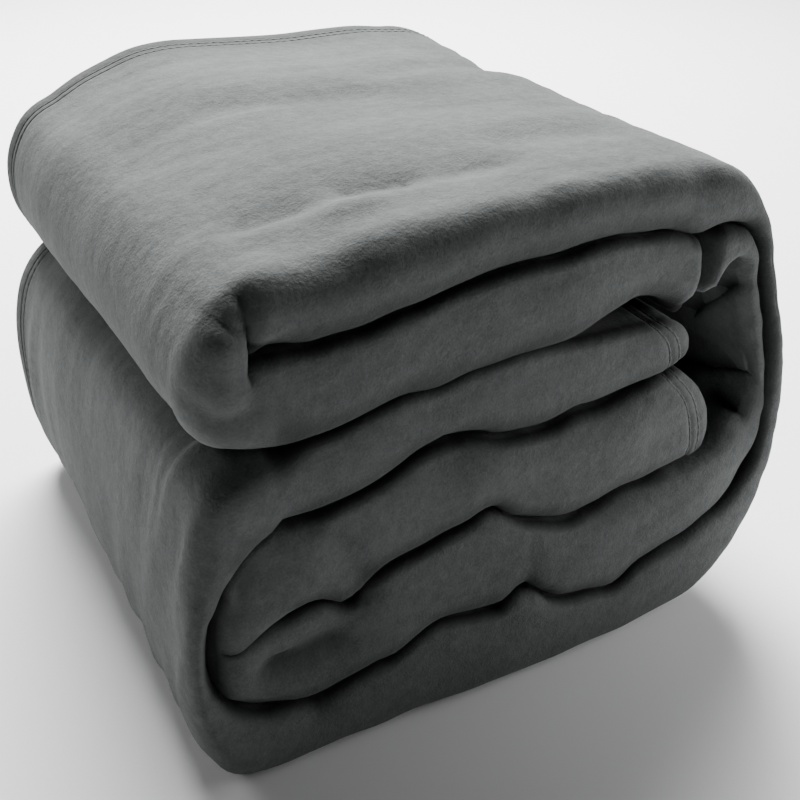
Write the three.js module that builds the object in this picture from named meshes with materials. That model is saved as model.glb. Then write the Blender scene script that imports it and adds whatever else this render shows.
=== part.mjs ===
// A throw blanket folded into a compact block.
// One fleece panel is folded lengthwise into a six-ply strip. The strip is folded once across, at the
// upper left, and the doubled strip is rolled into three tiers, so the front shows six layers of strip.
// Each lying layer and each bend of the strip is one closed solid, and so is each hemmed end.
// Millimetres, +X along the layered front, +Y to the back, +Z up. The origin is the centre of the
// footprint, on the surface that the blanket rests on.
import * as THREE from "three";

// The cloth
const THROW_WIDTH = 1270;
const PLIES = 6;
const STRIP_WIDTH = THROW_WIDTH / PLIES;
const HEM_WIDTH = 12;
const THREAD = 0.8;
const STITCH_ROWS = [3.5, 8]; // distances of the two rows from the hem's end

// The solids
const CLEARANCE = 0.4; // left between two solids that touch
const EDGE_RADIUS = 11; // roundness of the folded edges, at the front and the back
const CORNER_STEPS = 3;
const LAYER_STEPS = 6;
const BEND_STEPS = 18;

// Heights of the lines between the layers, at the left, middle and right column
const COLUMNS = [-82, -10, 60];
const LEVELS = {
  top: [173, 178, 177],
  underFirst: [155, 160, 158],
  underSecond: [127, 133, 135],
  underThird: [101, 107, 106],
  underFourth: [66, 77, 70],
  underFifth: [30, 41, 36],
  floor: [0, 0, 0],
};
const LEFT = COLUMNS[0];
const RIGHT = COLUMNS[2];
const THIRD_END = 60; // where the third layer's hemmed end lies
const FOURTH_END = 77;

// The skins of the bends, as points [x, z] from one layer to the next
const UPPER_LEFT_SKIN = [[-94, 168], [-104, 155], [-104, 141], [-96, 130]];
const UPPER_LEFT_CREASE = [[-86, 156], [-88, 155], [-86, 154]];
const LOWER_LEFT_SKIN = [[-97, 121], [-107, 99], [-112, 70], [-112, 42], [-103, 15]];
const LOWER_LEFT_LINING = [[-91, 95], [-99, 82], [-104, 66], [-104, 48], [-97, 36]];
const INNER_LEFT_CREASE = [[-88, 64], [-93, 61], [-88, 63]];
const RIGHT_SKIN = [[90, 9], [107, 37], [112, 66], [104, 106], [93, 145], [80, 169]];
const RIGHT_LINING = [[85, 44], [100, 56], [103, 72], [94, 108], [86, 138], [76, 153]];
const RIGHT_HOLLOW = [[78, 69], [91, 74], [94, 84], [85, 108], [78, 123], [70, 131]];

const FLEECE = { color: 0x4b4e4e, roughness: 0.96, metalness: 0 };
const THREAD_FINISH = { color: 0x3a3c3c, roughness: 0.8, metalness: 0 };

// Height of a level over x: a parabola through its three columns, and flat beyond them.
function heightAt(level, x) {
  const at = THREE.MathUtils.clamp(x, LEFT, RIGHT);
  return COLUMNS.reduce((height, column, i) => {
    const others = COLUMNS.filter((other) => other !== column);
    const share = others.reduce((s, other) => (s * (at - other)) / (column - other), 1);
    return height + share * LEVELS[level][i];
  }, 0);
}

// A level as points from right to left.
function levelLine(level, right = RIGHT, left = LEFT) {
  return Array.from({ length: LAYER_STEPS + 1 }, (_, i) => {
    const x = THREE.MathUtils.lerp(right, left, i / LAYER_STEPS);
    return new THREE.Vector2(x, heightAt(level, x));
  });
}

// A smooth line that leaves one level, passes the bend's points and ends on another level.
function bendLine(column, fromLevel, points, toLevel) {
  const ends = [fromLevel, toLevel].map((level) => [column, heightAt(level, column)]);
  const all = [ends[0], ...points, ends[1]].map(([x, z]) => new THREE.Vector2(x, z));
  return new THREE.SplineCurve(all).getPoints(BEND_STEPS);
}

// A rectangle with round corners, as points [across the cloth, through the plies].
function roundedSection(halfWidth, halfHeight) {
  const radius = Math.min(EDGE_RADIUS, halfHeight * 0.98);
  const corners = [[1, 1], [-1, 1], [-1, -1], [1, -1]];
  return corners.flatMap(([side, face], quarter) =>
    Array.from({ length: CORNER_STEPS + 1 }, (_, i) => {
      const angle = (quarter + i / CORNER_STEPS) * (Math.PI / 2);
      return [
        side * (halfWidth - radius) + radius * Math.cos(angle),
        face * (halfHeight - radius) + radius * Math.sin(angle),
      ];
    }),
  );
}

// Triangles that join a row of rings into one closed body, with both ends capped.
function closedLoft(rings) {
  const size = rings[0].length;
  const indices = [];
  for (let r = 0; r + 1 < rings.length; r++) {
    for (let i = 0; i < size; i++) {
      const here = r * size + i;
      const next = r * size + ((i + 1) % size);
      indices.push(here, next + size, next, here, here + size, next + size);
    }
  }
  const last = (rings.length - 1) * size;
  for (let i = 1; i + 1 < size; i++) {
    indices.push(0, i, i + 1, last, last + i + 1, last + i);
  }
  const geometry = new THREE.BufferGeometry();
  const positions = rings.flat().flatMap((point) => point.toArray());
  geometry.setAttribute("position", new THREE.Float32BufferAttribute(positions, 3));
  geometry.setIndex(indices);
  geometry.computeVertexNormals();
  return geometry;
}

// One stretch of strip: its skin and lining are lines of points in X-Z, and it is as deep as the strip.
function foldPanel(skin, lining, inset = 0) {
  const last = skin.length - 1;
  const rings = skin.map((outer, i) => {
    const middle = outer.clone().add(lining[i]).multiplyScalar(0.5);
    const through = outer.clone().sub(lining[i]).multiplyScalar(0.5);
    const normal = through.clone().normalize();
    const along = new THREE.Vector2(-normal.y, normal.x);
    if (i === 0) middle.addScaledVector(along, CLEARANCE / 2);
    if (i === last) middle.addScaledVector(along, -CLEARANCE / 2);
    const halfHeight = through.length() - CLEARANCE / 2 - inset;
    return roundedSection(STRIP_WIDTH / 2 - inset, halfHeight).map(
      ([y, w]) => new THREE.Vector3(middle.x + normal.x * w, y, middle.y + normal.y * w),
    );
  });
  return closedLoft(rings);
}

function layer(upper, lower, right, left) {
  return foldPanel(levelLine(upper, right, left), levelLine(lower, right, left));
}

// A hemmed end, made smaller all round by the room that its stitching takes.
const STITCH_ROOM = THREAD + CLEARANCE;

function endHem(upper, lower, end) {
  const start = end - HEM_WIDTH;
  return foldPanel(levelLine(upper, end, start), levelLine(lower, end, start), STITCH_ROOM);
}

// One row of stitching: a closed loop of thread round the hem.
function stitchLoop(upper, lower, x) {
  const top = heightAt(upper, x);
  const bottom = heightAt(lower, x);
  const outline = (inset) => {
    const halfHeight = (top - bottom) / 2 - inset;
    return roundedSection(STRIP_WIDTH / 2 - inset, halfHeight).map(
      ([y, w]) => new THREE.Vector2(y, w),
    );
  };
  const shape = new THREE.Shape(outline(CLEARANCE / 2));
  shape.holes.push(new THREE.Path(outline(CLEARANCE / 2 + THREAD)));
  const loop = new THREE.ExtrudeGeometry(shape, { depth: THREAD, bevelEnabled: false });
  loop.rotateX(Math.PI / 2).rotateZ(Math.PI / 2);
  return loop.translate(x, 0, (top + bottom) / 2);
}

function addPiece(group, name, geometry, finish = FLEECE) {
  const piece = new THREE.Mesh(geometry, new THREE.MeshStandardMaterial(finish));
  piece.name = name;
  group.add(piece);
}

function addHemmedEnd(group, name, upper, lower, end) {
  addPiece(group, `${name}_end_hem`, endHem(upper, lower, end));
  STITCH_ROWS.forEach((distance, row) => {
    const loop = stitchLoop(upper, lower, end - distance);
    addPiece(group, `${name}_hem_stitch_${row + 1}`, loop, THREAD_FINISH);
  });
}

// The upper fold lifts as one: the top two layers and the bend that joins them at the left.
const topFold = new THREE.Group();
addPiece(topFold, "top_layer", layer("top", "underFirst", RIGHT, LEFT));
addPiece(topFold, "second_layer", layer("underFirst", "underSecond", RIGHT, LEFT));
addPiece(
  topFold,
  "upper_left_fold",
  foldPanel(
    bendLine(LEFT, "top", UPPER_LEFT_SKIN, "underSecond"),
    bendLine(LEFT, "underFirst", UPPER_LEFT_CREASE, "underFirst"),
  ),
);

// The rolled pile under it
const base = new THREE.Group();
const thirdStart = THIRD_END - HEM_WIDTH;
const fourthStart = FOURTH_END - HEM_WIDTH;
addPiece(base, "third_layer", layer("underSecond", "underThird", thirdStart, LEFT));
addPiece(base, "fourth_layer", layer("underThird", "underFourth", fourthStart, LEFT));
addPiece(base, "fifth_layer", layer("underFourth", "underFifth", RIGHT, LEFT));
addPiece(base, "bottom_layer", layer("underFifth", "floor", RIGHT, LEFT));
addHemmedEnd(base, "third_layer", "underSecond", "underThird", THIRD_END);
addHemmedEnd(base, "fourth_layer", "underThird", "underFourth", FOURTH_END);

const lowerLeftLining = bendLine(LEFT, "underThird", LOWER_LEFT_LINING, "underFifth");
addPiece(
  base,
  "lower_left_wrap",
  foldPanel(bendLine(LEFT, "underSecond", LOWER_LEFT_SKIN, "floor"), lowerLeftLining),
);
addPiece(
  base,
  "inner_left_fold",
  foldPanel(
    lowerLeftLining,
    bendLine(LEFT, "underFourth", INNER_LEFT_CREASE, "underFourth"),
  ),
);

const rightLining = bendLine(RIGHT, "underFifth", RIGHT_LINING, "underFirst");
addPiece(
  base,
  "outer_right_wrap",
  foldPanel(bendLine(RIGHT, "floor", RIGHT_SKIN, "top"), rightLining),
);
addPiece(
  base,
  "inner_right_wrap",
  foldPanel(rightLining, bendLine(RIGHT, "underFourth", RIGHT_HOLLOW, "underSecond")),
);

// The group is moved so that its footprint is centred on the origin and its underside is at zero.
const blanket = new THREE.Group();
blanket.add(topFold, base);
const box = new THREE.Box3().setFromObject(blanket);
const centre = box.getCenter(new THREE.Vector3());
blanket.position.set(-centre.x, -centre.y, -box.min.z);

export default blanket;
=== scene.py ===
"""The looks of a folded throw blanket: one plush fleece cloth, folded in six plies, folded across and
rolled, with hemmed and double-stitched edges. Metres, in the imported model's frame."""

import math

import bpy
import numpy as np
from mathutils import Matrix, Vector


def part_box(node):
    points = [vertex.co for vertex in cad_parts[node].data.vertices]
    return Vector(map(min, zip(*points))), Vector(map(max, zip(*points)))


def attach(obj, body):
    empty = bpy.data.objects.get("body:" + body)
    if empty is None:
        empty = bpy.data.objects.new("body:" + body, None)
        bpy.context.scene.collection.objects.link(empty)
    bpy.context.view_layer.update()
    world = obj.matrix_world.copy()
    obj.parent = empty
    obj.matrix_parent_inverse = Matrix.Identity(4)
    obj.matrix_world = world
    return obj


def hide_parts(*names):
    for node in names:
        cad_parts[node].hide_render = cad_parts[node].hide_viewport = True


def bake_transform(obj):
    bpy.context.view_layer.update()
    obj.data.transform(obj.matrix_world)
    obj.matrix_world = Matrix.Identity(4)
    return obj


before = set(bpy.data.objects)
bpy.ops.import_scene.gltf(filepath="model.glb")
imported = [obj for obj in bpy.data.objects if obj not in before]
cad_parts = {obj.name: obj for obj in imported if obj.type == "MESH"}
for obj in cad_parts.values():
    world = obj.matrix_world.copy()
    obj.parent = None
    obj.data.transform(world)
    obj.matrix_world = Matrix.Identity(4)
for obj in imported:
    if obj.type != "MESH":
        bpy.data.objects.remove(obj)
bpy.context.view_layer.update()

MM = 0.001

# The cloth, flat
CLOTH_WIDTH = 1.27  # folded into PLIES across
PLIES = 6
PLY = 3.6 * MM  # thickness of one loose ply, pile and all
PLY_FILL = 0.86  # share of its sixth of the strip that a ply fills, where the strip is thin
STITCH_ROWS = (6.5 * MM, 10.5 * MM)  # distances from the cloth's edge
STITCH = 3.2 * MM
THREAD_RADIUS = 0.42 * MM
HEM = 14 * MM
HEM_SWELL = 0.12  # how much thicker a hem is, as a share of its ply
GROOVE_WIDTH = 1 * MM  # of the groove that a row of stitching presses into a hem
LONG_HEM_GROOVE, END_HEM_GROOVE = 0.25, 0.5  # depths of those grooves, as shares of the ply

# The grid that the cloth is made on
CELL = 3.1 * MM  # along the strip
FRONT_CELL = 2.2 * MM
HIDDEN_CELL = 20 * MM  # across the hidden plies
EDGE_CELLS = (0, 1, 2.2, 3.8, 5.4, 6.5, 7.6, 9.4, 10.5, 11.6, 13, 15)  # mm from a hemmed edge
FINE_DEPTH = 30 * MM  # how much of the outermost ply, next to the front, has cells of FRONT_CELL
PLAIN_CELL = 4.6 * MM  # across the rest of that ply
CORNER_ROWS, FACE_ROWS, BACK_ROWS = 6, 8, 6  # of a front corner, the face between two, a back fold

# Room between two stretches of the strip that touch, and how much more at the front, where they part
GAP = 0.3 * MM
FRONT_GAP = 0.4 * MM
FRONT_GAP_DEPTH = 10 * MM

# -------- places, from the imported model


def low(node):
    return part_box(node)[0]


def high(node):
    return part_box(node)[1]


LEFT = low("top_layer").x
RIGHT = high("top_layer").x
FRONT = low("top_layer").y
BACK = high("top_layer").y
TALL = high("top_layer").z
THIRD_END = high("third_layer_end_hem").x
FOURTH_END = high("fourth_layer_end_hem").x
OUTER_LEFT = low("lower_left_wrap").x
FOLD_LEFT = low("upper_left_fold").x
OUTER_RIGHT = high("outer_right_wrap").x


def between(upper, lower):
    """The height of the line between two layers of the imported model."""
    return (low(upper).z + high(lower).z) / 2


# Each line between two layers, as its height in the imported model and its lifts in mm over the
# share of the way from the left to the right column: first at the front, then at the back.
LINES = {
    "top": (
        TALL,
        [(0, -5), (0.12, -3), (0.25, -1.5), (0.5, 0), (0.8, 0), (1, -2)],
        [
            (0, -16), (0.08, -10), (0.15, -6.5), (0.235, -3), (0.32, -2), (0.43, -3), (0.55, -4.5),
            (0.68, -6), (0.8, -6.5), (0.93, -7.5), (1, -9),
        ],
    ),
    "under_first": (
        between("top_layer", "second_layer"),
        [(0, -6), (0.15, -5.5), (0.3, -4), (0.43, -1), (0.6, 0), (0.85, 0), (1, -5)],
        [(0, -21), (0.3, -8), (0.7, -9), (1, -12)],
    ),
    "under_second": (
        between("second_layer", "third_layer"),
        [(0, -10), (0.12, -7), (0.26, -3), (0.4, -2), (0.5, 0), (0.65, -1), (1, -2)],
        [(0, -24), (0.3, -12), (0.6, -9), (1, -9)],
    ),
    "under_third": (
        between("third_layer", "fourth_layer"),
        [
            (0, -7), (0.1, -7), (0.22, -3), (0.33, 3.5), (0.4, 3), (0.5, -1), (0.7, -1),
            (0.85, 0.5), (1, 4),
        ],
        [(0, -15), (0.5, -6), (1, -7)],
    ),
    "under_fourth": (
        between("fourth_layer", "fifth_layer"),
        [
            (0, -8), (0.07, -7), (0.155, -12), (0.2, -6), (0.35, 1), (0.43, 4), (0.475, 6.5),
            (0.55, -1), (0.66, -7), (0.74, -8), (0.85, -5), (1, -5),
        ],
        [(0, -9), (0.5, -4), (1, -5)],
    ),
    "under_fifth": (
        between("fifth_layer", "bottom_layer"),
        [
            (0, -10), (0.1, -10), (0.19, -6), (0.25, -5), (0.3, 0), (0.36, 3), (0.46, 1),
            (0.53, 1.5), (0.57, 6.5), (0.65, -3), (0.76, -8), (0.85, -10), (0.92, -6), (1, -3),
        ],
        [(0, -8), (0.5, -3), (1, -4)],
    ),
    "floor": (low("bottom_layer").z, [(0, 0), (1, 0)], [(0, 0), (1, 0)]),
}

# How far the second layer's underside lifts off the third layer towards its right end, and how far
# the third layer's top sinks towards its hem, in mm
SECOND_LIFT = [(0, 0), (0.72, 1), (0.8, 4.5), (0.86, 6.5), (0.92, 4), (0.965, 0), (1, -5)]
THIRD_SINK = [(0, 0), (0.75, 0), (0.9, -1), (1, -1.5)]

# The bends, as shares: x from the column to the outermost point of the bend, z from the lower to
# the upper of the two lines that the bend joins. Where there are two lists or two numbers, the first
# is for the front and the second for the back.
UPPER_LEFT_REACH = (1, 0.97)  # the outermost point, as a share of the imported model's
LOWER_LEFT_REACH = (1, 0.985)
UPPER_LEFT_SKIN = [
    (0.25, 0.965), (0.5, 0.905), (0.78, 0.77), (0.94, 0.63), (1, 0.48), (0.97, 0.31), (0.84, 0.16),
    (0.62, 0.05), (0.33, -0.005),
]
LOWER_LEFT_SKIN = (
    [
        (0.32, 1.0), (0.57, 0.97), (0.83, 0.77), (0.96, 0.56), (1, 0.37), (0.97, 0.22), (0.84, 0.085),
        (0.6, 0.015), (0.3, 0.0),
    ],
    [
        (0.28, 1.0), (0.5, 0.96), (0.76, 0.87), (0.93, 0.74), (1, 0.6), (0.98, 0.42), (0.87, 0.22),
        (0.65, 0.07), (0.35, 0.0),
    ],
)
LOWER_LEFT_LINING = [
    (0.15, 0.99), (0.38, 0.9), (0.62, 0.75), (0.76, 0.55), (0.78, 0.34), (0.62, 0.16), (0.3, 0.03),
]
RIGHT_SKIN = (
    [
        (0.15, 0.0), (0.32, 0.006), (0.55, 0.04), (0.76, 0.12), (0.935, 0.226), (1.015, 0.35),
        (0.97, 0.49), (0.83, 0.64), (0.685, 0.775), (0.53, 0.885), (0.32, 0.965), (0.14, 0.99),
    ],
    [
        (0.15, 0.0), (0.32, 0.006), (0.55, 0.04), (0.76, 0.12), (0.935, 0.226), (1.015, 0.35),
        (0.99, 0.49), (0.88, 0.655), (0.75, 0.795), (0.59, 0.905), (0.37, 0.975), (0.17, 0.995),
    ],
)
RIGHT_LINING = [
    (0.2, 0.02), (0.44, 0.06), (0.665, 0.122), (0.815, 0.205), (0.86, 0.305), (0.81, 0.463),
    (0.69, 0.663), (0.58, 0.822), (0.495, 0.93), (0.41, 0.985), (0.245, 1.01),
]
RIGHT_HOLLOW = [
    (0.148, 0.0), (0.38, 0.025), (0.592, 0.097), (0.74, 0.215), (0.76, 0.398), (0.673, 0.62),
    (0.563, 0.87), (0.488, 1.062), (0.432, 1.21), (0.367, 1.31), (0.294, 1.345), (0.217, 1.287),
    (0.168, 1.195), (0.13, 1.095), (0.072, 1.025),
]
# Where the inner right bend's lining lies opposite its skin, as shares of their lengths from the top
HOLLOW_MATCH = [
    (0, 0), (0.022, 0.023), (0.051, 0.043), (0.085, 0.062), (0.117, 0.085), (0.146, 0.12),
    (0.169, 0.155), (0.208, 0.195), (0.26, 0.25), (0.4, 0.39), (1, 1),
]
# The dead ends of the first and fourth lines, at the left, as lengths in mm: out, then up
FIRST_LINE_END = [(2, 0.5), (3.6, 0.4), (4.4, 0), (3.6, -0.4), (2, -0.5)]
FOURTH_LINE_END = [(6, 0.2), (11, -3), (14.5, -7), (15.5, -8.6), (14, -8.4), (10, -5.5), (5, -2)]
THIRD_LONGER = 2.5 * MM  # how far the third layer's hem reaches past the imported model's
HEM_SLANT = 1.5 * MM  # how far a hemmed end's lowest ply stands out, and its highest one steps back

# Roundness of the strip's folded front edge, in mm, on its skin side and on its lining side
EDGE_ROUNDS = {
    "third_layer": (1.9, 3.5),
    "lower_left_wrap": (8, 2.1),
    "bottom_layer": (5, 1.9),
    "outer_right_wrap": (5, 2.8),
    "top_layer": (12, 3.5),
    "upper_left_fold": (9, 2.1),
    "second_layer": (3.7, 1.9),
    "inner_right_wrap": (2.7, 2.7),
    "fifth_layer": (1.9, 3.5),
    "inner_left_fold": (2.5, 2.5),
    "fourth_layer": (3.5, 1.9),
}

# Creases and swells of the front, as strokes from one point to another in X-Z, in mm, with a width
# and how far they are pressed in; a swell is pressed in by less than nothing.
FRONT_STROKES = [
    ((-87, 166), (-88, 147), 2.0, 3.8),
    ((-97, 166), (-91, 160), 2.4, 2.4),
    ((-101, 142), (-95, 135), 3.0, 2.4),
    ((-95, 157), (-95, 156), 4.0, -1.2),
    ((-95, 146), (-94, 143), 4.0, -1.2),
    ((-86, 155), (-76, 152), 2.5, 3.0),
    ((-93, 123), (-80, 121), 3.0, 4.0),
    ((38, 133), (60, 129), 4.0, 4.5),
    ((62, 149), (67, 124), 1.3, 1.2),
    ((-81, 98), (-72, 95), 3.2, 4.5),
    ((-30, 109), (-17, 105), 3.0, 4.2),
    ((18, 103.5), (42, 104), 3.2, 3.0),
    ((-67, 88), (-57, 71), 3.5, 1.8),
    ((-75, 83), (-74, 82), 8.0, -2.0),
    ((-20, 96), (38, 92), 9.0, -2.0),
    ((26, 63), (66, 67.5), 3.2, 3.8),
    ((66, 67), (68, 67.5), 2.5, 2.5),
    ((-16, 76.5), (-10, 75.5), 2.6, 3.0),
    ((-60, 61), (-56, 60.5), 2.6, 3.0),
    ((-86, 46), (-68, 46), 7.5, 4.6),
    ((-88, 51), (-81, 47), 1.6, 1.0),
    ((1.5, 60), (2.5, 41), 2.6, 0.8),
    ((2, 40), (9, 36), 2.6, 3.0),
    ((-99, 36), (-74, 22), 3.5, 3.8),
    ((-101.5, 71), (-103, 46), 4.0, 4.2),
    ((-96, 76), (-91, 84), 5.0, 2.0),
]
FRONT_STROKE_DEPTH = 24 * MM
# The same for the top, in X-Y
TOP_STROKES = [
    ((-72, -69), (-58, -70), 6.0, 2.4),
    ((-42, -69), (-25, -72), 5.0, 2.2),
    ((-50, -81), (-42, -81), 5.0, -1.6),
    ((-66, -97), (-62, -97), 9.0, 2.4),
    ((-46, 17), (5, 10), 9.0, 1.8),
    ((-85, -6), (-52, -20), 3.0, 0.9),
    ((-10, -74), (4, -74), 7.0, 1.6),
    ((20, -60), (50, -62), 8.0, 1.8),
    ((25, 30), (70, 32), 9.0, 2.2),
]

# How dark the painted shade makes the pile, from 0 to 1
TUCK_PAINTED_SHADE = 0.85
PRESS_PAINTED_SHADE = 0.16 / MM  # where a stroke presses in, times how far it does
MERGED_PAINTED_SHADE = 0.45  # where the lower left wrap and the pile inside it merge
EDGE_PAINTED_SHADE = 0.26  # on the folded front edges
HEM_PAINTED_SHADE = 0.36  # towards the long hems
# the painted shade along a crease reaches further beside rounder corners
CREASE_REACH = 0.6 / MM  # a crease's shade reaches this times the square of its corner's radius

# -------- curves


def through(xs, ys, at):
    """A smooth curve through points, at the places given: cubic pieces that share their slopes."""
    xs, ys, at = (np.asarray(a, float) for a in (xs, ys, at))
    slopes = np.gradient(ys, xs, axis=0)
    k = np.clip(np.searchsorted(xs, at, side="right") - 1, 0, len(xs) - 2)
    step = xs[k + 1] - xs[k]
    t = np.clip((at - xs[k]) / step, 0, 1)
    if ys.ndim > 1:
        step, t = step[:, None], t[:, None]
    return (
        (1 + 2 * t) * (1 - t) ** 2 * ys[k]
        + t * (1 - t) ** 2 * step * slopes[k]
        + t**2 * (3 - 2 * t) * ys[k + 1]
        + t**2 * (t - 1) * step * slopes[k + 1]
    )


def length_along(points):
    steps = np.linalg.norm(np.diff(points, axis=0), axis=1)
    return np.concatenate([[0.0], np.cumsum(steps)])


def evenly(points, count):
    """count points evenly spaced on the smooth curve through the points given."""
    points = np.asarray(points, float)
    along = length_along(points)
    fine = through(along, points, np.linspace(0, along[-1], 12 * count))
    along = length_along(fine)
    return through(along, fine, np.linspace(0, along[-1], count))


def smoothstep(low_end, high_end, value):
    t = np.clip((value - low_end) / (high_end - low_end), 0, 1)
    return t * t * (3 - 2 * t)


def plateau(start, full, falling, end, value):
    """Rises smoothly from 0 to 1 over the first two values and falls back over the last two."""
    return smoothstep(start, full, value) * smoothstep(end, falling, value)


def bell(value, width):
    return np.exp(-((value / width) ** 2))


def waves(seed, wavelengths, *where):
    """Smooth noise over coordinates in metres, mostly in -1 to 1: plane waves in random directions."""
    rng = np.random.default_rng(seed)
    count = 9
    total = 0.0
    for _ in range(count):
        direction = rng.normal(size=len(where))
        direction /= np.linalg.norm(direction)
        phase = rng.uniform(0, 2 * math.pi)
        stretch = rng.uniform(0.75, 1.35)
        angle = sum(
            2 * math.pi * stretch * d * w / length
            for d, w, length in zip(direction, where, wavelengths)
        )
        total = total + np.sin(angle + phase)
    return total / (0.6 * count)


def strokes(marks, first, second):
    """How far the strokes press in at two coordinates in metres."""
    total = 0.0
    for (x0, z0), (x1, z1), width, depth in marks:
        run, rise = (x1 - x0) * MM, (z1 - z0) * MM
        from_start = first - x0 * MM, second - z0 * MM
        share = (from_start[0] * run + from_start[1] * rise) / (run**2 + rise**2)
        share = np.clip(share, 0, 1)
        away = np.hypot(from_start[0] - share * run, from_start[1] - share * rise)
        total = total + depth * MM * bell(away, width * MM)
    return total


def unit(vectors):
    return vectors / np.maximum(np.linalg.norm(vectors, axis=-1, keepdims=True), 1e-12)


def surface_normals(grid):
    return unit(np.cross(np.gradient(grid, axis=0), np.gradient(grid, axis=1)))


# -------- the strip's path

FRONT_END, BACK_END = 0, 1
LAYER_STATIONS = 26
BEND_STATIONS = 34


def share_across(x):
    return np.clip((np.asarray(x) - LEFT) / (RIGHT - LEFT), 0, 1)


def line_height(line, end, x):
    height, *lifts = LINES[line]
    shares, mm = zip(*lifts[end])
    return height + through(shares, mm, share_across(x)) * MM


def with_lift(line, table):
    """A line's height with another table of lifts on it."""
    shares, mm = zip(*table)

    def height(end, x):
        return line_height(line, end, x) + through(shares, mm, share_across(x)) * MM

    return height


second_underside = with_lift("under_second", SECOND_LIFT)
third_top = with_lift("under_second", THIRD_SINK)


def flat_run(height, end, start_x, stop_x):
    x = np.linspace(start_x, stop_x, LAYER_STATIONS)
    z = height(end, x) if callable(height) else line_height(height, end, x)
    return np.stack([x, z], axis=1)


def bend_run(column, outermost, lower, upper, shares, downwards):
    """A bend between two heights at a column, through points given as shares of its size."""
    points = [(0, 1)] + list(shares) + [(0, 0)] if downwards else [(0, 0)] + list(shares) + [(0, 1)]
    placed = [
        (column + fx * (outermost - column), lower + fz * (upper - lower)) for fx, fz in points
    ]
    return evenly(placed, BEND_STATIONS)


def dead_end(end, line, offsets):
    """The end of a line between two layers, where the strip turns back on itself."""
    height = float(line_height(line, end, LEFT))
    points = [(LEFT, height)] + [(LEFT - out * MM, height + up * MM) for out, up in offsets]
    return evenly(points + [(LEFT, height)], BEND_STATIONS)


def path(end):
    """The strip's two faces as lines in X-Z, from the third layer's hem to the fourth layer's hem.
    The skin is the face that ends up outside; the lining is the other one."""

    def at(line, x):
        return float(line_height(line, end, x))

    outer_left = OUTER_LEFT * LOWER_LEFT_REACH[end]
    fold_left = FOLD_LEFT * UPPER_LEFT_REACH[end]
    left_lining = bend_run(
        LEFT, outer_left, at("under_fifth", LEFT), at("under_third", LEFT), LOWER_LEFT_LINING, True
    )
    right_lining = bend_run(
        RIGHT, OUTER_RIGHT, at("under_fifth", RIGHT), at("under_first", RIGHT), RIGHT_LINING, False
    )
    hollow = bend_run(
        RIGHT, OUTER_RIGHT, at("under_fourth", RIGHT), float(second_underside(end, RIGHT)),
        RIGHT_HOLLOW, False,
    )
    skin_share, lining_share = zip(*HOLLOW_MATCH)
    uniform = np.linspace(0, 1, BEND_STATIONS)
    matched = through(skin_share, lining_share, uniform)
    hollow_lining = through(uniform, right_lining[::-1], matched)
    runs = [
        (
            "third_layer",
            flat_run(third_top, end, THIRD_END + THIRD_LONGER - HEM_SLANT, LEFT),
            flat_run("under_third", end, THIRD_END + THIRD_LONGER + HEM_SLANT, LEFT),
        ),
        (
            "lower_left_wrap",
            bend_run(LEFT, outer_left, at("floor", LEFT), at("under_second", LEFT),
                     LOWER_LEFT_SKIN[end], True),
            left_lining,
        ),
        (
            "bottom_layer",
            flat_run("floor", end, LEFT, RIGHT),
            flat_run("under_fifth", end, LEFT, RIGHT),
        ),
        (
            "outer_right_wrap",
            bend_run(RIGHT, OUTER_RIGHT, at("floor", RIGHT), at("top", RIGHT),
                     RIGHT_SKIN[end], False),
            right_lining,
        ),
        (
            "top_layer",
            flat_run("top", end, RIGHT, LEFT),
            flat_run("under_first", end, RIGHT, LEFT),
        ),
        (
            "upper_left_fold",
            bend_run(LEFT, fold_left, at("under_second", LEFT), at("top", LEFT),
                     UPPER_LEFT_SKIN, True),
            dead_end(end, "under_first", FIRST_LINE_END),
        ),
        (
            "second_layer",
            flat_run(second_underside, end, LEFT, RIGHT),
            flat_run("under_first", end, LEFT, RIGHT),
        ),
        ("inner_right_wrap", hollow[::-1], hollow_lining),
        (
            "fifth_layer",
            flat_run("under_fourth", end, RIGHT, LEFT),
            flat_run("under_fifth", end, RIGHT, LEFT),
        ),
        ("inner_left_fold", dead_end(end, "under_fourth", FOURTH_LINE_END), left_lining[::-1]),
        (
            "fourth_layer",
            flat_run("under_fourth", end, LEFT, FOURTH_END + HEM_SLANT),
            flat_run("under_third", end, LEFT, FOURTH_END - HEM_SLANT),
        ),
    ]
    names, skin, lining = [], [], []
    for name, outer, inner in runs:
        first = 1 if names else 0  # a run starts where the last one stopped
        skin.append(outer[first:])
        lining.append(inner[first:])
        names += [name] * (len(outer) - first)
    return names, np.concatenate(skin), np.concatenate(lining)


names, front_skin, front_lining = path(FRONT_END)
_, back_skin, back_lining = path(BACK_END)

# Length along the strip, as the longer of its two faces
SHORTEST_STEP = 0.001 * MM
steps = np.maximum(
    np.linalg.norm(np.diff(front_skin, axis=0), axis=1),
    np.linalg.norm(np.diff(front_lining, axis=0), axis=1),
)
along = np.concatenate([[0.0], np.cumsum(np.maximum(steps, SHORTEST_STEP))])
bend_start = along[names.index("inner_right_wrap") - 1]
bend_length = along[names.index("fifth_layer") - 1] - bend_start

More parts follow.
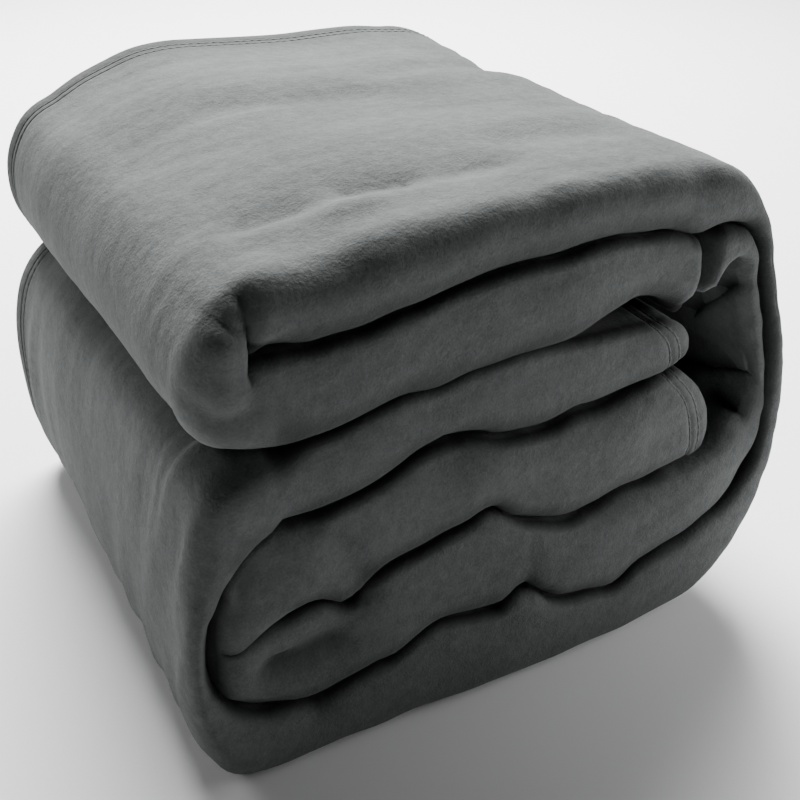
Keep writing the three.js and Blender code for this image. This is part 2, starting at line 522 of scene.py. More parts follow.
# The grid's places along the strip: even cells, but closer together in the inner right bend, at its
# mouth where the second layer passes into it and in its hollow
SAMPLES = 8000
MOUTH_CROWDING = 1.3
HOLLOW_CROWDING = 0.7
edge_cells = np.array(EDGE_CELLS) * MM
even = np.linspace(edge_cells[-1], along[-1] - edge_cells[-1], SAMPLES)
share_even = (even - bend_start) / bend_length
crowding = (
    1
    + MOUTH_CROWDING * plateau(-0.08, -0.02, 0.13, 0.2, share_even)
    + HOLLOW_CROWDING * plateau(0.05, 0.13, 0.75, 0.85, share_even)
)
cells_so_far = np.concatenate([[0.0], np.cumsum((crowding[1:] + crowding[:-1]) / 2)])
cells_so_far = cells_so_far * (even[1] - even[0]) / CELL
cell_ends = np.linspace(0, cells_so_far[-1], int(cells_so_far[-1]) + 1)
inner_places = np.interp(cell_ends, cells_so_far, even)
places = np.concatenate([edge_cells[:-1], inner_places, (along[-1] - edge_cells[:-1])[::-1]])
front_skin, front_lining, back_skin, back_lining = (
    through(along, line, places) for line in (front_skin, front_lining, back_skin, back_lining)
)
run_of = np.array(names)[np.clip(np.searchsorted(along, places), 0, len(names) - 1)]
from_start, to_stop = places, places[-1] - places
from_end = np.minimum(from_start, to_stop)
share_of_bend = (places - bend_start) / bend_length


def columns_of(*runs):
    return np.isin(run_of, runs)


def smoothed(values, reach):
    """Values along the strip, averaged over a length."""
    weights = bell(places[:, None] - places[None, :], reach)
    return weights @ np.asarray(values, float) / weights.sum(axis=1)


# -------- the folded section

STRAIGHT, FOLD = 0, 1
ply_width = CLOTH_WIDTH / PLIES

# The rows of the front fold: how far each one has turned through the skin's corner, how far it is
# along the face between the two corners, and how far it has turned through the lining's corner
corner = np.linspace(0, 1, CORNER_ROWS + 1)
FRONT_FOLD = (
    [(turn, 0.0, 0.0) for turn in corner[1:]]
    + [(1.0, share, 0.0) for share in np.linspace(0, 1, FACE_ROWS + 1)[1:]]
    + [(1.0, 1.0, turn) for turn in corner[1:-1]]
)


def cells(start, stop, size):
    return np.linspace(start, stop, max(2, int(round((stop - start) / size)) + 1))


def section_rows():
    """The rows across the cloth: the kind of stretch, its number, and how far along it each row is.
    In the front fold, that is the row's place in FRONT_FOLD."""
    rows = []
    for number in range(PLIES):
        if number == 0:
            plain = cells(edge_cells[-1], ply_width - FINE_DEPTH, PLAIN_CELL)
            fine = cells(ply_width - FINE_DEPTH, ply_width, FRONT_CELL)
            shares = np.concatenate([edge_cells[:-1], plain[:-1], fine]) / ply_width
        elif number == 1:
            near = cells(0, FINE_DEPTH, CELL)
            shares = np.concatenate([near[:-1], cells(FINE_DEPTH, ply_width, HIDDEN_CELL)])
            shares /= ply_width
        elif number == PLIES - 1:
            plain = cells(0, ply_width - edge_cells[-1], HIDDEN_CELL)
            shares = np.concatenate([plain[:-1], ply_width - edge_cells[::-1]]) / ply_width
        else:
            shares = cells(0, ply_width, HIDDEN_CELL) / ply_width
        rows += [(STRAIGHT, number, share) for share in shares]
        if number == 0:
            rows += [(FOLD, number, place) for place in range(len(FRONT_FOLD))]
        elif number < PLIES - 1:
            rows += [(FOLD, number, share) for share in np.linspace(0, 1, BACK_ROWS)[1:-1]]
    return rows


rows = section_rows()
row_kind, row_ply, row_share = (np.array(column) for column in zip(*rows))
first_ply = (row_kind == STRAIGHT) & (row_ply == 0)
last_ply = (row_kind == STRAIGHT) & (row_ply == PLIES - 1)
front_fold = (row_kind == FOLD) & (row_ply == 0)

# Where each ply lies through the strip: 1 is the skin, -1 the lining. The outermost ply holds the
# others: it lies next to the skin, goes round the front and comes back next to the lining.
PLY_PLACE = np.array([1.0, -1.0, -0.6, 0.6, 0.2, -0.2])

ROUND_BLEND = 9 * MM  # length over which one run's roundness turns into the next one's
LARGEST_ROUND = 0.96  # share of the room for a corner that its radius can take
front_half = np.linalg.norm(front_skin - front_lining, axis=1) / 2
ply_here = np.minimum(PLY, PLY_FILL * 2 * front_half / PLIES)
reach = front_half - GAP - FRONT_GAP - ply_here / 2  # from the middle to the outermost ply


def corner_round(side):
    """The radius of the front edge's corner along the strip, on the skin or the lining side."""
    wanted = np.array([EDGE_ROUNDS[run][side] for run in run_of]) * MM
    return np.minimum(smoothed(wanted, ROUND_BLEND), LARGEST_ROUND * reach)


skin_round, lining_round = corner_round(0), corner_round(1)

# Where the lower left wrap and the pile inside it merge without a crease, so with no round corner
MERGED_ROUND_LOSS = 0.75
merged = columns_of("lower_left_wrap", "inner_left_fold") * plateau(
    82 * MM, 87 * MM, 97 * MM, 101 * MM, front_lining[:, 1]
)
lining_round *= 1 - MERGED_ROUND_LOSS * merged

# The front edge wanders a little, bows out low in the middle, is drawn in deep where the second
# layer passes into the bend, and is rounded off at the hemmed ends.
EDGE_WANDER = 0.7 * MM
EDGE_BOW = 5 * MM
MOUTH_DRAW = 20 * MM
HOLLOW_DRAW = 2.5 * MM
END_DRAW = 6.5 * MM
END_ROUND = 9 * MM
middle_x, middle_z = (front_skin + front_lining).T / 2
wander = EDGE_WANDER * waves(11, (90 * MM,), places) * (1 - merged)
bow = EDGE_BOW * bell(middle_x - 30 * MM, 70 * MM) * smoothstep(TALL, 0, middle_z)
draw_in = (
    MOUTH_DRAW * plateau(-0.004, 0.026, 0.036, 0.066, share_of_bend)
    + HOLLOW_DRAW * plateau(0.2, 0.3, 0.72, 0.88, share_of_bend)
)
end_curve = 1 - np.sqrt(1 - np.clip(1 - from_end / END_ROUND, 0, 1) ** 2)
front_edge = FRONT + ply_here / 2 + wander - bow + draw_in + END_DRAW * end_curve

# Each ply ends, or folds, at the back on its own wandering line. Plies 1 and 2 are joined by a fold
# there, and so are plies 3 and 4.
BACK_ROOM = 6 * MM
BACK_WANDER = 2.2 * MM
FIRST_BACK_SEED = 20
ply_back = [
    BACK - BACK_ROOM + BACK_WANDER * waves(FIRST_BACK_SEED + line, (120 * MM,), places)
    for line in (0, 1, 1, 3, 3, 5)
]

FACE_SWELL = 1.0 * MM  # how far the front of the strip swells between its two corners
INNER_TURN = 1.3  # how far behind the corners the inner plies turn, in plies
INNER_BULGE = 0.9  # how far their folds come forward from there, as a share of that distance
inner_turn = np.maximum(skin_round, lining_round) + INNER_TURN * ply_here
depth = np.zeros((len(places), len(rows)))
place_through = np.zeros_like(depth)
from_contact = np.ones((2, *depth.shape))  # along the cloth, from where each corner starts
for j, (kind, number, share) in enumerate(rows):
    here = PLY_PLACE[number]
    to_front = number % 2 == 0
    if kind == STRAIGHT:
        turn_at = {0: skin_round, 1: lining_round}.get(number, inner_turn) + front_edge
        start, stop = (ply_back[number], turn_at) if to_front else (turn_at, ply_back[number])
        depth[:, j] = start + share * (stop - start)
        place_through[:, j] = here
        if number < 2:
            from_contact[number, :, j] = depth[:, j] - turn_at
    elif number == 0:
        skin_turn, face, lining_turn = FRONT_FOLD[share]
        a, b = skin_turn * math.pi / 2, lining_turn * math.pi / 2
        face_length = 2 * reach - skin_round - lining_round
        across = (
            reach
            - skin_round * (1 - math.cos(a))
            - face * face_length
            - lining_round * math.sin(b)
        )
        out = skin_round * (1 - math.sin(a)) + lining_round * (1 - math.cos(b))
        face_swell = FACE_SWELL * (1 - (across / reach) ** 2)
        from_contact[0, :, j] = skin_round * a + face * face_length + lining_round * b
        whole = (skin_round + lining_round) * math.pi / 2 + face_length
        from_contact[1, :, j] = whole - from_contact[0, :, j]
        depth[:, j] = front_edge + out - face_swell
        place_through[:, j] = across / reach
    else:
        after = PLY_PLACE[number + 1]
        turn = share * math.pi
        if to_front:
            forward = INNER_BULGE * abs(here) * math.sin(turn)
            depth[:, j] = front_edge + inner_turn * (1 - forward)
        else:
            size = abs(here - after) / 2 * front_half
            depth[:, j] = ply_back[number] + size * math.sin(turn)
        place_through[:, j] = (here + after) / 2 + (here - after) / 2 * math.cos(turn)

from_front = depth - FRONT
toward_back = np.clip(from_front / (BACK - FRONT), 0, 1)[:, :, None]
skin = front_skin[:, None] * (1 - toward_back) + back_skin[:, None] * toward_back
lining = front_lining[:, None] * (1 - toward_back) + back_lining[:, None] * toward_back

# Inside the right bend, the cloth's loose side swells into the hollow, between tucks
HOLLOW_SWELL = 6.5 * MM
TUCK_HOLD = 0.85  # how much of the swell a tuck takes away
loose = columns_of("inner_right_wrap")
height = skin[loose, :, 1]
inwards = from_front[loose]
free = plateau(66 * MM, 74 * MM, 126 * MM, 146 * MM, height)
free = free * smoothstep(0.05, 0.15, share_of_bend[loose])[:, None]
tucks = [
    bell(height - (95 * MM - 0.5 * inwards), 3.4 * MM),
    bell(height - (135 * MM - inwards), 4.6 * MM),
    bell(height - 76 * MM, 3.4 * MM) * smoothstep(24 * MM, 14 * MM, inwards),
]
swell = HOLLOW_SWELL * free * smoothstep(0, 6 * MM, inwards)
for tuck in tucks:
    swell = swell * (1 - TUCK_HOLD * tuck)
skin[loose] += unit(skin[loose] - lining[loose]) * swell[..., None]
# Painted shade along the tucks in the hollow
tuck_painted_shade = np.zeros_like(depth)
tuck_painted_shade[loose] = np.maximum.reduce(tucks) * smoothstep(-1 * MM, 3 * MM, inwards)

# The hemmed ends lean back at the top: the third layer's skin, and the fourth layer's lining
THIRD_LEAN = 6.5 * MM
FOURTH_LEAN = 13 * MM
third_lean = THIRD_LEAN * smoothstep(45 * MM, 8 * MM, from_start)[:, None]
fourth_lean = FOURTH_LEAN * smoothstep(45 * MM, 8 * MM, to_stop)[:, None]
lean = third_lean * ((1 + place_through) / 2) ** 4 + fourth_lean * ((1 - place_through) / 2) ** 3

# They are pinched a little thinner at their very edge
END_PINCH = 0.34
pinch = (end_curve * END_PINCH)[:, None, None]
middle = (skin + lining) / 2
skin += (middle - skin) * pinch
lining += (middle - lining) * pinch

INNER_WOBBLE = 0.04  # of the inner plies between their neighbours, as a share of half the strip
half = np.linalg.norm(skin - lining, axis=2) / 2
through_strip = (skin - lining) / (2 * half[:, :, None])
thickness = np.minimum(PLY, PLY_FILL * 2 * half / PLIES)
front_gap = FRONT_GAP * bell(np.maximum(from_front, 0), FRONT_GAP_DEPTH) * (1 - merged[:, None])
offset = place_through * (half - GAP - front_gap - thickness / 2)
inner_ply = (np.abs(PLY_PLACE[row_ply]) < 1) & (row_kind == STRAIGHT)
wobble = INNER_WOBBLE * waves(41, (70 * MM, 80 * MM), places[:, None], depth)
offset += wobble * inner_ply * (half - thickness) * smoothstep(0, 12 * MM, from_front)
placed = middle + through_strip * offset[:, :, None]
placed[:, :, 0] -= lean
cloth = np.stack([placed[:, :, 0], depth, placed[:, :, 1]], axis=2)

# -------- how the folded block lies

# Each point moves only by where it lies, so neighbouring plies move together. The block is uneven
# all over and lumpy near its front. Its right shoulder is drawn in and sinks, and it flares low at
# the front's left end.
UNEVEN_LIFT = 1.2 * MM
UNEVEN_SWAY = 0.8 * MM
LUMPS = 0.6 * MM
SHOULDER_SWAY = 4 * MM
SHOULDER_SINK = 2 * MM
FLARE = 2.5 * MM
x, y, z = np.moveaxis(cloth, 2, 0)
behind_front = np.maximum(y - FRONT, 0)
held = smoothstep(0, 12 * MM, z)  # nothing moves below the surface that it rests on
shoulder = bell(y - 36 * MM, 19 * MM) * smoothstep(45 * MM, 95 * MM, x)
shoulder = shoulder * smoothstep(60 * MM, 150 * MM, z)
lift = UNEVEN_LIFT * waves(3, (95 * MM, 80 * MM, 150 * MM), x, y, z) * held
lift -= strokes(TOP_STROKES, x, y) * smoothstep(95 * MM, TALL, z)
lift += LUMPS * waves(12, (13 * MM, 60 * MM, 60 * MM), x, y, z) * held * bell(behind_front, 18 * MM)
lift -= SHOULDER_SINK * shoulder
flare = FLARE * smoothstep(-30 * MM, FRONT, y) * bell(z - 50 * MM, 45 * MM)
sway = UNEVEN_SWAY * waves(4, (120 * MM, 90 * MM, 100 * MM), x, y, z)
sway -= SHOULDER_SWAY * shoulder
sway -= flare * smoothstep(-40 * MM, OUTER_LEFT, x)
press = strokes(FRONT_STROKES, x, z) * bell(behind_front, FRONT_STROKE_DEPTH)

# Painted shade in the pile's colour: darker along the creases where two stretches of the strip touch,
# in tucks, where strokes press in, a little on the folded front edges, and towards the long hems
skin_meets = smoothed(
    columns_of("third_layer", "second_layer", "fifth_layer", "fourth_layer", "inner_left_fold"),
    5 * MM,
)
from_side = np.full(len(rows), 1.0)  # distance from the nearer long hem's edge, or far from both
from_side[first_ply] = row_share[first_ply] * ply_width
from_side[last_ply] = (1 - row_share[last_ply]) * ply_width
# Painted shade beside the corners of each crease
painted_shade = np.maximum(
    bell(from_contact[0], CREASE_REACH * skin_round[:, None] ** 2) * skin_meets[:, None],
    bell(from_contact[1], CREASE_REACH * lining_round[:, None] ** 2),
) * (1 - merged[:, None])
# Broad painted shade where the lower left wrap and the pile inside it merge
painted_shade = np.maximum(painted_shade, MERGED_PAINTED_SHADE * merged[:, None] * bell(from_contact[1], 8 * MM))
painted_shade = np.maximum(painted_shade, TUCK_PAINTED_SHADE * tuck_painted_shade * first_ply)
# Painted shade where a stroke presses in
painted_shade = np.clip(painted_shade + PRESS_PAINTED_SHADE * np.maximum(press, 0), 0, 1)
# Painted shade on the folded front edges, darkening the front
edge_painted_shade = smoothstep(9 * MM, 1 * MM, depth - front_edge[:, None]) * (row_ply == 0)
painted_shade = np.maximum(painted_shade, EDGE_PAINTED_SHADE * edge_painted_shade)
# Painted shade towards the long hems
painted_shade = np.maximum(painted_shade, HEM_PAINTED_SHADE * smoothstep(28 * MM, 4 * MM, from_side) * first_ply)

cloth = cloth + np.stack([sway, press, lift], axis=2)
normals = surface_normals(cloth)

# Wrinkles of the outermost ply, where it is free to wrinkle: drag lines down the left side, finer
# near the front, faint streaks on the top, and dents in the front edges
DRAG = 2.2 * MM
STREAKS = 0.3 * MM
DENTS = 0.4 * MM
outside = (row_ply == 0) | ((row_ply == 1) & (row_share < 0.1))
left_side = smoothed(
    columns_of("lower_left_wrap") + 0.35 * columns_of("upper_left_fold"), 8 * MM
)
top_side = smoothed(columns_of("top_layer", "outer_right_wrap"), 8 * MM)
front_side = front_fold * smoothstep(0, 4 * MM, from_contact.min(axis=0))
x, y, z = np.moveaxis(cloth, 2, 0)
drag = waves(5, (14 * MM, 150 * MM), y + 0.15 * z, z)
drag = drag + 0.8 * smoothstep(-60 * MM, -80 * MM, y) * waves(8, (9 * MM, 100 * MM), y + 0.2 * z, z)
drag_strength = DRAG * (0.6 + 0.4 * smoothstep(20 * MM, -70 * MM, y))
ripple = left_side[:, None] * ((1 + drag) / 2) ** 2 * drag_strength
ripple = ripple + top_side[:, None] * STREAKS * waves(6, (110 * MM, 17 * MM), x, y)
ripple = ripple + front_side * DENTS * waves(7, (20 * MM, 13 * MM, 11 * MM), x, y, z)
cloth = cloth + normals * (outside * ripple)[..., None]
normals = surface_normals(cloth)

# Hems are thicker, and each row of stitching presses a groove into them
edge_distance = np.minimum(from_side[None, :], from_end[:, None])
in_hem = smoothstep(HEM + 1 * MM, HEM - 1.5 * MM, edge_distance)
grooves = sum(bell(edge_distance - row, GROOVE_WIDTH) for row in STITCH_ROWS)
groove_depth = np.where(from_side[None, :] < from_end[:, None], LONG_HEM_GROOVE, END_HEM_GROOVE)
thickness = thickness * (1 + HEM_SWELL * in_hem) * (1 - groove_depth * np.minimum(grooves, 1))

# The strip's outer surface and its inner one
upper = cloth + normals * thickness[..., None] / 2
under = cloth - normals * thickness[..., None] / 2
for surface in (upper, under):
    surface[..., 2] = np.maximum(surface[..., 2], 0)
upper_normals, under_normals = surface_normals(upper), -surface_normals(under)

# -------- the cloth as closed sheets


def grid_faces(column_count, row_count, start=0):
    index = start + np.arange(column_count * row_count).reshape(column_count, row_count)
    a, b, c, d = index[:-1, :-1], index[1:, :-1], index[1:, 1:], index[:-1, 1:]
    return index, np.stack([a, b, c, d], axis=-1).reshape(-1, 4)


def mesh_object(name, vertices, faces):
    mesh = bpy.data.meshes.new(name)
    mesh.vertices.add(len(vertices))
    mesh.vertices.foreach_set("co", np.asarray(vertices, np.float32).ravel())
    mesh.loops.add(faces.size)
    mesh.loops.foreach_set("vertex_index", faces.astype(np.int32).ravel())
    mesh.polygons.add(len(faces))
    starts = np.arange(len(faces), dtype=np.int32) * faces.shape[1]
    mesh.polygons.foreach_set("loop_start", starts)
    mesh.update(calc_edges=True)
    mesh.validate()
    mesh.polygons.foreach_set("use_smooth", np.ones(len(mesh.polygons), bool))
    made = bpy.data.objects.new(name, mesh)
    bpy.context.scene.collection.objects.link(made)
    return made


RIM_BULGE = 0.45  # how far a rounded hem sticks out, as a share of its thickness


def cloth_sheet(name, first, last, cut_at_start, cut_at_end):
    """Columns of the cloth's grid as one closed thin body, with rounded hems and flat cuts."""
    chosen = slice(first, last + 1)
    part, deep = cloth[chosen], thickness[chosen]
    column_count, row_count = deep.shape
    upper_index, upper_faces = grid_faces(column_count, row_count)
    under_index, under_faces = grid_faces(column_count, row_count, column_count * row_count)

    # One more point on the rim beside each edge point, pushed out where the edge is a hem
    along_strip = unit(np.gradient(part, axis=0))
    across_strip = unit(np.gradient(part, axis=1))
    rim_push = np.zeros_like(part)
    rim_push[:, 0] -= across_strip[:, 0]
    rim_push[:, -1] += across_strip[:, -1]
    if not cut_at_start:
        rim_push[0] -= along_strip[0]
    if not cut_at_end:
        rim_push[-1] += along_strip[-1]
    rim_points = part + rim_push * deep[..., None] * RIM_BULGE

    last_column, last_row = column_count - 1, row_count - 1
    loop = [(i, 0) for i in range(column_count)]
    loop += [(last_column, j) for j in range(1, row_count)]
    loop += [(i, last_row) for i in range(last_column - 1, -1, -1)]
    loop += [(0, j) for j in range(last_row - 1, 0, -1)]
    loop_i, loop_j = np.array(loop).T
    rim = 2 * column_count * row_count + np.arange(len(loop))
    upper_loop, under_loop = upper_index[loop_i, loop_j], under_index[loop_i, loop_j]
    rim_next, upper_next, under_next = (np.roll(a, -1) for a in (rim, upper_loop, under_loop))
    rim_faces = np.concatenate(
        [
            np.stack([upper_next, upper_loop, rim, rim_next], 1),
            np.stack([rim_next, rim, under_loop, under_next], 1),
        ]
    )
    vertices = np.concatenate(
        [upper[chosen].reshape(-1, 3), under[chosen].reshape(-1, 3), rim_points[loop_i, loop_j]]
    )
    faces = np.concatenate([upper_faces, under_faces[:, ::-1], rim_faces])
    made = mesh_object(name, vertices, faces)

    # Only the outer surface gets the painted shade
    shade = made.data.attributes.new("painted_shade", "FLOAT", "POINT")
    shades = np.zeros(len(vertices), np.float32)
    shades[: column_count * row_count] = painted_shade[chosen].ravel()
    shade.data.foreach_set("value", shades)

    # At a cut, both sheets take the whole cloth's shading, so that the join doesn't show
    shading = np.zeros((len(vertices), 3))
    for cut, i in ((cut_at_start, 0), (cut_at_end, last_column)):
        if cut:
            shading[upper_index[i, 1:-1]] = upper_normals[first + i, 1:-1]
            shading[under_index[i, 1:-1]] = under_normals[first + i, 1:-1]
    made.data.normals_split_custom_set_from_vertices(shading)
    return made


# The cloth is cut where the outer right wrap starts and where the inner one stops
turning = np.flatnonzero(columns_of("outer_right_wrap"))[0] - 1
back_in = np.flatnonzero(columns_of("inner_right_wrap"))[-1] + 1
last_place = len(places) - 1

# -------- stitching

THREAD_SIDES = 6
STITCH_DIP = 0.35 * MM  # how far the thread dips into the cloth between two stitches
STITCH_RISE = 0.55 * MM  # how far it rises from there to the middle of a stitch


def tube(points, normal):
    """A closed tube of thread along points, as vertices and faces of four corners."""
    along_line = unit(np.gradient(points, axis=0))
    side = unit(np.cross(normal, along_line))
    up = np.cross(along_line, side)
    angles = (np.arange(THREAD_SIDES) * 2 * math.pi / THREAD_SIDES)[None, :, None]
    ring = np.cos(angles) * up[:, None] + np.sin(angles) * side[:, None]
    vertices = (points[:, None] + THREAD_RADIUS * ring).reshape(-1, 3)
    index = np.arange(len(vertices)).reshape(len(points), THREAD_SIDES)
    after = np.roll(index, -1, axis=1)
    faces = np.stack([index[:-1], after[:-1], after[1:], index[1:]], axis=-1).reshape(-1, 4)
    caps = [
        [end[0], end[k], end[k + 1], end[k + 2]]
        for end in (index[0, ::-1], index[-1])
        for k in range(1, THREAD_SIDES - 2, 2)
    ]
    return vertices, np.concatenate([faces, np.array(caps)])


def stitched(points, normal, spacing):
    """A row of stitches: thread on the cloth that dips into it between one stitch and the next."""
    distance = length_along(points)
    count = max(2, int(distance[-1] / spacing) + 1)
    at = np.linspace(0, distance[-1], count)
    sampled = np.stack([np.interp(at, distance, points[:, k]) for k in range(3)], axis=1)
    facing = unit(np.stack([np.interp(at, distance, normal[:, k]) for k in range(3)], axis=1))
    rise = np.abs(np.sin(math.pi * at / STITCH)) ** 0.5 * STITCH_RISE - STITCH_DIP
    sampled = sampled + facing * rise[:, None]
    sampled[:, 2] = np.maximum(sampled[:, 2], THREAD_RADIUS)
    return sampled, facing


def thread_object(name, first, last, with_end=None):
    """The stitching of one sheet: rows along both long hems, and across a hemmed end, where each
    stitch shows on the two outermost plies and the thread lies plain on the hidden ones."""
    lines = []
    chosen = slice(first, last + 1)
    hidden_from = np.flatnonzero(row_kind == FOLD)[len(FRONT_FOLD)]
    shown, hidden = slice(0, hidden_from), slice(hidden_from - 1, None)
    for row in STITCH_ROWS:
        for j in np.flatnonzero(np.isclose(from_side, row, atol=0.2 * MM)):
            lines.append(stitched(upper[chosen, j], upper_normals[chosen, j], STITCH / 2))
        if with_end is not None:
            i = int(np.argmin(np.abs(np.abs(places - places[with_end]) - row)))
            lines.append(stitched(upper[i, shown], upper_normals[i, shown], STITCH / 4))
            lines.append((upper[i, hidden], upper_normals[i, hidden]))
    vertices, faces, count = [], [], 0
    for points, normal in lines:
        tube_vertices, tube_faces = tube(points, normal)
        vertices.append(tube_vertices)
        faces.append(tube_faces + count)
        count += len(tube_vertices)
    return mesh_object(name, np.concatenate(vertices), np.concatenate(faces))


outer_roll = cloth_sheet("throw_outer_roll", 0, turning, False, True)
top_fold = cloth_sheet("throw_top_fold", turning, back_in, True, True)
inner_roll = cloth_sheet("throw_inner_roll", back_in, last_place, True, False)
outer_thread = thread_object("thread_outer_roll", 0, turning, with_end=0)
top_thread = thread_object("thread_top_fold", turning, back_in)
inner_thread = thread_object("thread_inner_roll", back_in, last_place, with_end=last_place)

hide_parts("third_layer", "third_layer_end_hem", "lower_left_wrap", "bottom_layer")
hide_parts("third_layer_hem_stitch_1", "third_layer_hem_stitch_2")
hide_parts("top_layer", "second_layer", "upper_left_fold")
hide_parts("outer_right_wrap", "inner_right_wrap")
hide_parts("fourth_layer", "fourth_layer_end_hem", "inner_left_fold", "fifth_layer")
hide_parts("fourth_layer_hem_stitch_1", "fourth_layer_hem_stitch_2")

for piece in (outer_roll, outer_thread, inner_roll, inner_thread):
    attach(piece, "base")
for piece in (top_fold, top_thread):
    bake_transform(piece)


# -------- materials


FLEECE_DARK = (0.062, 0.066, 0.066)
FLEECE_LIGHT = (0.142, 0.149, 0.148)
# the dark colour of the painted shade in creases, tucks and along edges
FLEECE_PAINTED_SHADE = (0.016, 0.017, 0.017, 1)
FLEECE_SHEEN = (0.85, 0.87, 0.87, 1)
THREAD_DARK = (0.04, 0.042, 0.042)
THREAD_LIGHT = (0.085, 0.09, 0.09)
DARK_BELOW, LIGHT_ABOVE = 0.34, 0.68  # noise values where the two colours are reached
NOISE_ROUGHNESS = 0.6


class Finish:
    """A new material, with short ways to add its nodes. Each one returns the node's output."""

    def __init__(self, name, roughness):
        self.material = bpy.data.materials.new(name)
        self.material.use_nodes = True
        self.nodes = self.material.node_tree.nodes
        self.link = self.material.node_tree.links.new
        self.place = self.nodes.new("ShaderNodeTexCoord").outputs["Object"]
        self.surface = self.nodes["Principled BSDF"].inputs
        self.surface["Roughness"].default_value = roughness

    def noise(self, scale, detail, stretch=(1, 1, 1)):
        mapping = self.nodes.new("ShaderNodeMapping")
        mapping.inputs["Scale"].default_value = stretch
        self.link(self.place, mapping.inputs["Vector"])
        made = self.nodes.new("ShaderNodeTexNoise")
        made.inputs["Scale"].default_value = scale
        made.inputs["Detail"].default_value = detail
        made.inputs["Roughness"].default_value = NOISE_ROUGHNESS
        self.link(mapping.outputs["Vector"], made.inputs["Vector"])
        return made.outputs["Fac"]

    def mix(self, a, b, share):
        made = self.nodes.new("ShaderNodeMix")
        made.inputs["Factor"].default_value = share
        self.link(a, made.inputs["A"])
        self.link(b, made.inputs["B"])
        return made.outputs["Result"]

    def bump(self, height, distance, strength, under=None):
        made = self.nodes.new("ShaderNodeBump")
        made.inputs["Distance"].default_value = distance
        made.inputs["Strength"].default_value = strength
        self.link(height, made.inputs["Height"])
        if under:
            self.link(under, made.inputs["Normal"])
        return made.outputs["Normal"]

    def colours(self, factor, dark, light):
        made = self.nodes.new("ShaderNodeValToRGB")
        steps = ((DARK_BELOW, dark), (LIGHT_ABOVE, light))
        for element, (position, colour) in zip(made.color_ramp.elements, steps):
            element.position = position
            element.color = (*colour, 1)
        self.link(factor, made.inputs["Fac"])
        return made.outputs["Color"]

    def darkened(self, colour, attribute, dark):
        """The colour, turned dark where the vertex attribute says so."""
        shade = self.nodes.new("ShaderNodeAttribute")
        shade.attribute_name = attribute
        made = self.nodes.new("ShaderNodeMix")
        made.data_type = "RGBA"
        self.link(shade.outputs["Fac"], made.inputs["Factor"])
        self.link(colour, made.inputs["A"])
        made.inputs["B"].default_value = dark
        return made.outputs["Result"]


def fleece():
    """Charcoal plush: short pile that clumps, with tips lighter than the shade between them."""
    finish = Finish("charcoal_fleece", roughness=0.95)
    finish.surface["Sheen Weight"].default_value = 0.06
    finish.surface["Sheen Roughness"].default_value = 0.5
    finish.surface["Sheen Tint"].default_value = FLEECE_SHEEN
    finish.surface["Specular IOR Level"].default_value = 0.1
    fibres = finish.noise(1300, 3)
    clumps = finish.noise(260, 3)
    patches = finish.noise(26, 2)
    brushed = finish.noise(9, 2, stretch=(1, 5, 1))
    pile = finish.mix(fibres, clumps, 0.45)
    tone = finish.mix(finish.mix(pile, patches, 0.28), brushed, 0.2)
    # Painted shade: the colour turns dark by the shade attribute, along creases, in tucks, on the
    # front edges and towards the long hems
    colour = finish.darkened(finish.colours(tone, FLEECE_DARK, FLEECE_LIGHT), "painted_shade", FLEECE_PAINTED_SHADE)
    relief = finish.bump(brushed, 2.2 * MM, 0.35)
    relief = finish.bump(clumps, 0.8 * MM, 0.6, relief)
    relief = finish.bump(fibres, 0.3 * MM, 0.65, relief)
    finish.link(colour, finish.surface["Base Color"])
    finish.link(relief, finish.surface["Normal"])
    return finish.material


def sewing_thread():
    """Dark twisted thread."""
    finish = Finish("dark_thread", roughness=0.75)
    twist = finish.noise(2500, 1)
    finish.link(finish.colours(twist, THREAD_DARK, THREAD_LIGHT), finish.surface["Base Color"])
    finish.link(finish.bump(twist, 0.1 * MM, 0.5), finish.surface["Normal"])
    return finish.material


cloth_finish, thread_finish = fleece(), sewing_thread()
for piece in (outer_roll, top_fold, inner_roll):
    piece.data.materials.append(cloth_finish)
for piece in (outer_thread, top_thread, inner_thread):
    piece.data.materials.append(thread_finish)

# -------- camera, floor and light

EYE = Vector((-174.6, -334, 294.8)) * MM
LOOK_DOWN = math.radians(32.5)
LOOK_RIGHT = math.radians(29.6)
FOCAL_MM = 50.9
SENSOR_MM = 36

camera = bpy.data.objects.new("camera", bpy.data.cameras.new("camera"))
bpy.context.scene.collection.objects.link(camera)
camera.location = EYE
camera.rotation_euler = (math.pi / 2 - LOOK_DOWN, 0, -LOOK_RIGHT)
camera.data.lens = FOCAL_MM
camera.data.sensor_width = SENSOR_MM
bpy.context.scene.camera = camera

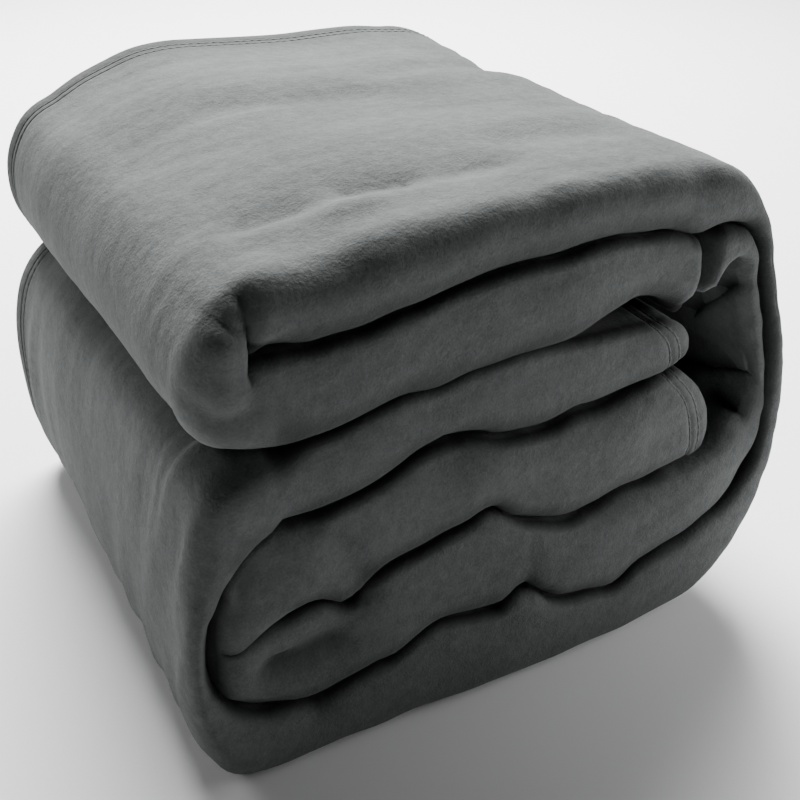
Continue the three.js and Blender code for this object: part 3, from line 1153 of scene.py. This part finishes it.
FLOOR_RADIUS = 1.45
FLOOR_CORNERS = 96
FLOOR_COLOUR = (0.92, 0.92, 0.92, 1)
bpy.ops.mesh.primitive_circle_add(vertices=FLOOR_CORNERS, radius=FLOOR_RADIUS, fill_type="NGON")
floor = bpy.context.object
floor.name = "floor"
floor_finish = bpy.data.materials.new("pale_floor")
floor_finish.use_nodes = True
floor_shader = floor_finish.node_tree.nodes["Principled BSDF"]
floor_shader.inputs["Base Color"].default_value = FLOOR_COLOUR
floor_shader.inputs["Roughness"].default_value = 0.7
floor.data.materials.append(floor_finish)


LIT_POINT = Vector((0, 0, 0.08))


def soft_light(name, place, size, watts):
    """A square lamp that faces the middle of the blanket."""
    lamp = bpy.data.lights.new(name, "AREA")
    lamp.shape = "SQUARE"
    lamp.size = size
    lamp.energy = watts
    made = bpy.data.objects.new(name, lamp)
    bpy.context.scene.collection.objects.link(made)
    made.location = place
    toward = LIT_POINT - Vector(place)
    made.rotation_euler = toward.to_track_quat("-Z", "Y").to_euler()


soft_light("key", place=(0.3, 0.7, 0.9), size=0.9, watts=74)
soft_light("right_fill", place=(0.35, -0.24, 0.15), size=0.24, watts=1.05)
soft_light("left_fill", place=(-0.6, 0.8, 0.5), size=0.4, watts=4)

# The world lights the cloth very little, and is seen as a pale backdrop
WORLD_LIGHT = 0.02
BACKDROP_LIGHT = 2.2
world = bpy.data.worlds.new("studio")
bpy.context.scene.world = world
world.use_nodes = True
world_nodes, world_links = world.node_tree.nodes, world.node_tree.links
lighting = world_nodes["Background"]
lighting.inputs["Color"].default_value = (1, 1, 1, 1)
lighting.inputs["Strength"].default_value = WORLD_LIGHT
backdrop = world_nodes.new("ShaderNodeBackground")
backdrop.inputs["Strength"].default_value = BACKDROP_LIGHT
ray = world_nodes.new("ShaderNodeLightPath")
either = world_nodes.new("ShaderNodeMixShader")
world_links.new(ray.outputs["Is Camera Ray"], either.inputs["Fac"])
world_links.new(lighting.outputs["Background"], either.inputs[1])
world_links.new(backdrop.outputs["Background"], either.inputs[2])
world_links.new(either.outputs["Shader"], world_nodes["World Output"].inputs["Surface"])
